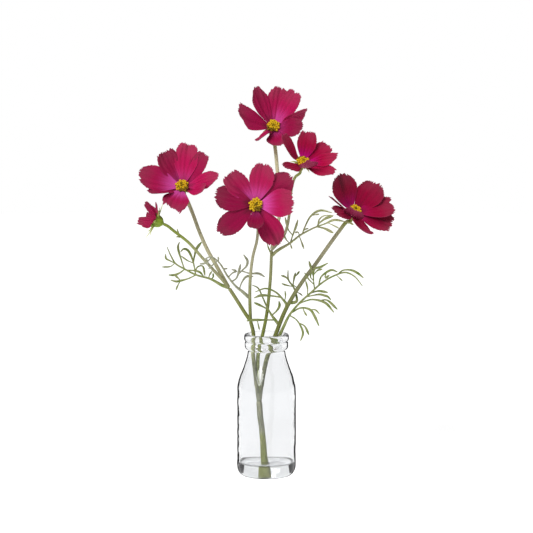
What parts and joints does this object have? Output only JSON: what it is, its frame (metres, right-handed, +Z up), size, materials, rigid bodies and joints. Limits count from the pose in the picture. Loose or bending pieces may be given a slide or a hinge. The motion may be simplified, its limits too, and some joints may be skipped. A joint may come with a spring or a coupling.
{
  "type": "flower spray in bottle",
  "caption": "Branching spray of open cosmos flowers with a half-open bud and feathery leaves, standing in a small clear glass bottle with a little water.",
  "frame": {"origin": "middle of the bottle's base, on the surface it stands on", "axes": "+Z up along the bottle's axis, -Y towards the side the blooms face, +X to the right seen from there"},
  "size_m": [0.2571, 0.1193, 0.3903],
  "materials": {
    "clear_glass": "smooth clear glass",
    "clear_water": "clear water",
    "stem_green": "satin khaki green",
    "leaf_green": "satin olive green",
    "petal_crimson": "veined crimson fabric, pink near the middle",
    "petal_dark": "veined dark crimson fabric",
    "calyx_green": "satin green with paler tips",
    "disc_yellow": "rough yellow florets"
  },
  "bodies": {
    "root": {"bottle": "clear_glass", "water": "clear_water", "stem": "stem_green", "leaf_low_left": "leaf_green", "leaf_high_left": "leaf_green", "leaf_low_middle": "leaf_green", "leaf_small_middle": "leaf_green", "leaf_low_right": "leaf_green", "leaf_back_right": "leaf_green", "leaf_high_right": "leaf_green", "bloom_top_petals": "petal_crimson", "bloom_top_calyx": "calyx_green", "bloom_top_disc": "disc_yellow", "bloom_upper_right_petals": "petal_crimson", "bloom_upper_right_calyx": "calyx_green", "bloom_upper_right_disc": "disc_yellow", "bloom_left_petals": "petal_crimson", "bloom_left_calyx": "calyx_green", "bloom_left_disc": "disc_yellow", "bloom_front_petals": "petal_crimson", "bloom_front_calyx": "calyx_green", "bloom_front_disc": "disc_yellow", "bloom_right_petals": "petal_dark", "bloom_right_calyx": "calyx_green", "bloom_right_disc": "disc_yellow", "bud_petals": "petal_crimson", "bud_calyx": "calyx_green"}
  },
  "joints": []
}
